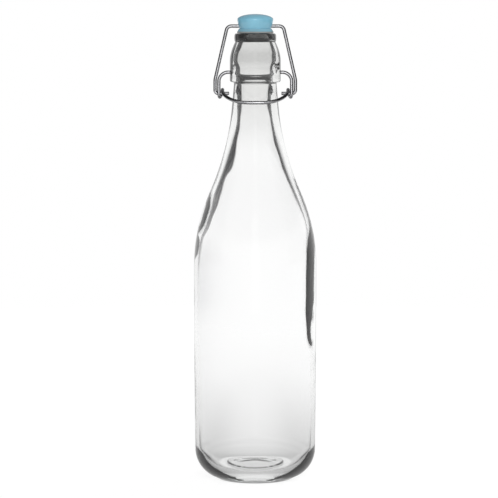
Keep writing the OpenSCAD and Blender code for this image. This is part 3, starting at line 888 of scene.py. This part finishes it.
class SWINGTOP_OT_mould_gasket(bpy.types.Operator):
    """Mould the soft gasket: collar, sealing rim and tapered plug round the stopper's stem"""
    bl_idname = "swingtop.mould_gasket"
    bl_label = "Mould the gasket"

    def execute(self, context):
        s = context.scene.swingtop_stopper
        soft = s.soft_edge
        bore_r, pocket_r, grip_r = s.stem_r + s.ease, s.button_r + s.ease, s.foot_r + s.ease
        pocket_z, bevel_z = s.button_z + s.button_h, s.plug_z + s.plug_bevel_h
        collar_r = grip_r + (s.collar_z - s.foot_z) * (s.belly_r - s.foot_r) / (s.belly_z - s.foot_z)
        edge_r = collar_r + s.collar_t
        rows = [(bore_r, pocket_z), (pocket_r, pocket_z)]
        rows += rounded(pocket_r + soft, s.plug_z + soft, soft, 180, 270, 4)
        rows += rounded(s.plug_r - s.plug_bevel - soft, s.plug_z + soft, soft, -90, PLUG_TURN, 4)
        rows += rounded(s.plug_r - 2 * soft, bevel_z + soft, 2 * soft, PLUG_TURN, 0, 4)
        rows += rounded(s.plug_r + soft, s.seat_z - soft, soft, 180, 90, 4)
        rows += rounded(s.rim_r - soft, s.seat_z + soft, soft, -90, 0, 5)
        rows += rounded(s.rim_r - soft, s.seat_z + s.rim_h - soft, soft, 0, RIM_TURN, 5)
        rows += rounded(edge_r - soft, s.collar_z - soft, soft, COLLAR_TURN, 90, 5)
        rows += [(collar_r, s.collar_z), (grip_r, s.foot_z), (bore_r, s.foot_z)]
        ob = as_object("gasket_moulded", turned(rows, GASKET_ROUND, closed=True))
        f = context.scene.swingtop_finish
        finish = clear_silicone(f.silicone, f.collar, f.plug, s.seat_z, s.seat_z + s.rim_h)
        dress(ob, finish, "stopper", "gasket")
        return {"FINISHED"}


class SWINGTOP_OT_set_studio(bpy.types.Operator):
    """Lay the pale floor, light the studio softly and set the camera at the photograph's angle"""
    bl_idname = "swingtop.set_studio"
    bl_label = "Set the studio"

    def execute(self, context):
        st = context.scene.swingtop_studio
        context.scene.view_settings.view_transform = "Standard"
        self.floor(context, st)
        self.world(context, st)
        self.lamp(context, "key_lamp", *KEY_LAMP, st.key)
        self.lamp(context, "rim_lamp", *RIM_LAMP, st.rim)
        data = bpy.data.cameras.new("camera")
        data.sensor_width, data.lens = SENSOR, st.lens
        data.clip_start, data.clip_end = NEAREST, FARTHEST
        camera = bpy.data.objects.new("camera", data)
        camera.location = (-st.aside, -st.distance, st.height)
        camera.rotation_euler = (math.pi / 2 - st.tilt, 0.0, 0.0)
        context.scene.collection.objects.link(camera)
        context.scene.camera = camera
        return {"FINISHED"}

    def floor(self, context, st):
        """A round pale floor that keeps some real shadow through its matt share: white to the camera, with a
        painted shadow near the bottle, darker in steel and glass, and a spot, ring and lane of painted light
        under glass.
        """
        bm = bmesh.new()
        bmesh.ops.create_circle(bm, cap_ends=True, segments=FLOOR_ROUND, radius=st.floor_r,
                                matrix=Matrix.Translation((0.0, 0.0, -FLOOR_DROP)))
        ob = as_object("studio_floor", bm)
        material, n = finish_nodes("studio_floor")
        matt = n.add("ShaderNodeBsdfDiffuse", Color=(*context.scene.swingtop_finish.floor, 1.0)).outputs[0]
        place = n.place()
        away = n.add("ShaderNodeVectorMath", {"operation": "LENGTH"}, Vector=place).outputs["Value"]
        across = n.maths("ABSOLUTE", n.part(place, "X"))
        # Painted light: a paler spot, a ring and a lane on the floor, seen through glass
        painted_spot = n.ramp(away, *PAINTED_LIGHT_SPOT)
        ring = n.maths("MINIMUM", *(n.ramp(away, *side) for side in PAINTED_LIGHT_RING))
        painted_lane = n.maths("MINIMUM", *(n.ramp(away, *stretch) for stretch in PAINTED_LIGHT_LANE))
        painted_lane = n.maths("MULTIPLY", painted_lane, n.ramp(across, *PAINTED_LIGHT_LANE_SIDE))
        # Painted shadow near the bottle as seen through glass, with the painted light added
        through = n.ramp(away, *FLOOR_THROUGH)
        for painted_light in (painted_spot, ring, painted_lane):
            through = n.maths("ADD", through, painted_light)
        # Painted shadow: the floor's glow is dimmer near the bottle for the camera, in steel and in glass
        levels = [n.ramp(away, *floor) for floor in (FLOOR_SEEN, FLOOR_IN_STEEL, FLOOR_IN_GLASS)]
        white, *others = [n.add("ShaderNodeEmission", Color=(*WHITE, 1.0), Strength=level).outputs[0]
                          for level in (*levels, through)]
        for kind, glow in zip(("Is Glossy Ray", "Is Singular Ray", "Is Transmission Ray"), others):
            white = mixed(n, seen_by(n, kind), white, glow)
        shown = n.maths("MULTIPLY", seen_by(n, "Is Camera Ray", "Is Glossy Ray", "Is Transmission Ray"),
                        n.ramp(away, *FLOOR_GLOW))
        n.add("ShaderNodeOutputMaterial", Surface=mixed(n, shown, matt, white))
        ob.data.materials.append(material)

    def world(self, context, st):
        """Even light all round; the camera sees white, and glass and metal see light and dark walls."""
        world = bpy.data.worlds.new("studio")
        world.use_nodes = True
        context.scene.world = world
        n = Nodes(world.node_tree)
        towards = n.add("ShaderNodeTexCoord").outputs["Generated"]
        bearing = n.maths("ARCTAN2", n.part(towards, "X"), n.part(towards, "Y"))
        up = n.part(towards, "Z")
        off = n.maths("PINGPONG", bearing, math.radians(90.0))
        through = n.by_rise(up, *THROUGH_GLASS)
        roof = n.by_rise(up, *ROOF)
        path = n.add("ShaderNodeLightPath").outputs
        clear = n.maths("MULTIPLY", path["Is Singular Ray"], glass_walls(n, off, up))
        walls = n.maths("MULTIPLY", steel_walls(n, bearing, off, up, st.dark), roof)
        walls = n.maths("MAXIMUM", walls, clear)
        box = n.maths("MULTIPLY", soft_box(n, bearing, up, st.soft_box),
                      n.ramp(path["Is Singular Ray"], 0.0, 1.0, 1.0, BOX_IN_GLASS))
        shine = n.maths("ADD", walls, box)
        matt = n.maths("GREATER_THAN", path["Diffuse Depth"], 0.5)
        even = n.maths("MAXIMUM", st.daylight, path["Is Transmission Ray"])
        light = [n.add("ShaderNodeBackground", Color=(*WHITE, 1.0), Strength=level).outputs[0]
                 for level in (even, shine, through, 1.0)]
        room = mixed(n, path["Is Glossy Ray"], light[0], light[1])
        room = mixed(n, path["Is Transmission Ray"], room, light[2])
        room = mixed(n, matt, room, light[0])
        n.add("ShaderNodeOutputWorld", Surface=mixed(n, path["Is Camera Ray"], room, light[3]))

    def lamp(self, context, name, place, size, watts):
        """A large square lamp that faces the bottle's middle."""
        data = bpy.data.lights.new(name, "AREA")
        data.size, data.energy = size, watts
        ob = bpy.data.objects.new(name, data)
        ob.location = place
        ob.visible_glossy = ob.visible_transmission = False
        ob.rotation_euler = (Vector(LAMPS_FACE) - Vector(place)).to_track_quat("-Z", "Y").to_euler()
        context.scene.collection.objects.link(ob)


class SWINGTOP_PT_panel(bpy.types.Panel):
    """Sizes, finishes and steps of the bottle"""
    bl_idname = "SWINGTOP_PT_panel"
    bl_label = "Swing-top bottle"
    bl_space_type = "VIEW_3D"
    bl_region_type = "UI"
    bl_category = "Bottle"

    def draw(self, context):
        for group in GROUPS:
            box = self.layout.box()
            box.label(text=group.__doc__)
            data = getattr(context.scene, scene_name(group))
            for key in group.__annotations__:
                box.prop(data, key)
        for step in STEPS:
            self.layout.operator(step.bl_idname)


GROUPS = (SWINGTOP_PG_glass, SWINGTOP_PG_wires, SWINGTOP_PG_stopper, SWINGTOP_PG_finish, SWINGTOP_PG_studio)
STEPS = (SWINGTOP_OT_blow_bottle, SWINGTOP_OT_bend_lever, SWINGTOP_OT_bend_bail, SWINGTOP_OT_mould_stopper,
         SWINGTOP_OT_mould_gasket, SWINGTOP_OT_set_studio)


def scene_name(group):
    """The scene property that holds a group of settings."""
    return group.__name__.lower().replace("_pg_", "_")


def register():
    for cls in GROUPS + STEPS + (SWINGTOP_PT_panel,):
        bpy.utils.register_class(cls)
    for group in GROUPS:
        setattr(bpy.types.Scene, scene_name(group), bpy.props.PointerProperty(type=group))


def unregister():
    for group in GROUPS:
        delattr(bpy.types.Scene, scene_name(group))
    for cls in (SWINGTOP_PT_panel,) + STEPS[::-1] + GROUPS[::-1]:
        bpy.utils.unregister_class(cls)


def main():
    register()
    for step in STEPS:
        getattr(bpy.ops.swingtop, step.bl_idname.split(".")[1])()


if __name__ == "__main__":
    main()
